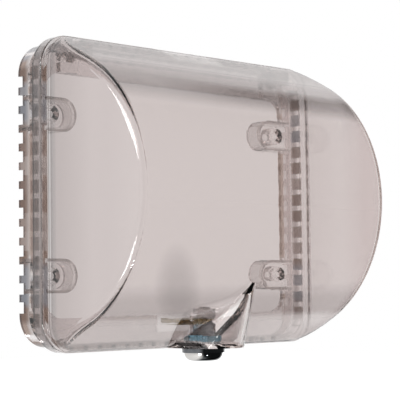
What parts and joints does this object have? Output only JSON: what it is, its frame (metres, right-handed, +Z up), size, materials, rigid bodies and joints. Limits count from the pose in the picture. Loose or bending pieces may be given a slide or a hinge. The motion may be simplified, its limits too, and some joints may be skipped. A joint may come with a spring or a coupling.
{
  "type": "thermostat_lock_box",
  "caption": "Clear plastic lock box that goes on the wall over a thermostat, with a vented base ring, a barrel-shaped hinged cover and a cylinder lock under a hood",
  "frame": {"origin": "centre of the wall face of the base, between the four wall screws", "axes": "+Z up along the wall, +Y into the wall, +X to the right of someone who faces the box; the front faces -Y"},
  "size_m": [0.2222, 0.0923, 0.1823],
  "materials": {
    "clear_base": "clear polycarbonate, moulded",
    "clear_cover": "clear polycarbonate, glossy",
    "black_rubber": "thin black gasket",
    "chrome_lock": "chromed die casting",
    "chrome_cap": "polished chromed cap",
    "bright_zinc": "bright zinc plated steel",
    "blue_zinc": "blue zinc plated steel",
    "nickel_plug": "nickel plated plug",
    "brass_wafers": "stamped brass",
    "spring_wire": "spring wire",
    "yellow_zinc": "yellow zinc plated steel",
    "bright_nut": "bright plated hexagon nut"
  },
  "bodies": {
    "base": {"base_frame": "clear_base"},
    "cover": {"cover_shell": "clear_cover", "lock_gasket": "black_rubber", "lock_housing": "chrome_lock", "lock_face_cap": "chrome_cap", "tooth_washer": "bright_zinc", "mounting_nut": "blue_zinc"},
    "plug": {"lock_plug": "nickel_plug", "key_wafers": "brass_wafers", "wafer_springs": "spring_wire", "retaining_wafer": "brass_wafers", "stop_washer": "bright_zinc", "lock_cam": "yellow_zinc", "cam_washer": "bright_zinc", "cam_nut": "bright_nut"}
  },
  "joints": [
    {"name": "cover_swing", "type": "hinge", "parent": "base", "child": "cover", "pos_m": [0, -0.0105, 0.0785], "axis": [-1, 0, 0], "range_deg": [0, 70]},
    {"name": "lock_turn", "type": "hinge", "parent": "cover", "child": "plug", "pos_m": [0, -0.034, -0.075], "axis": [0, 0, -1], "range_deg": [0, 90]}
  ]
}
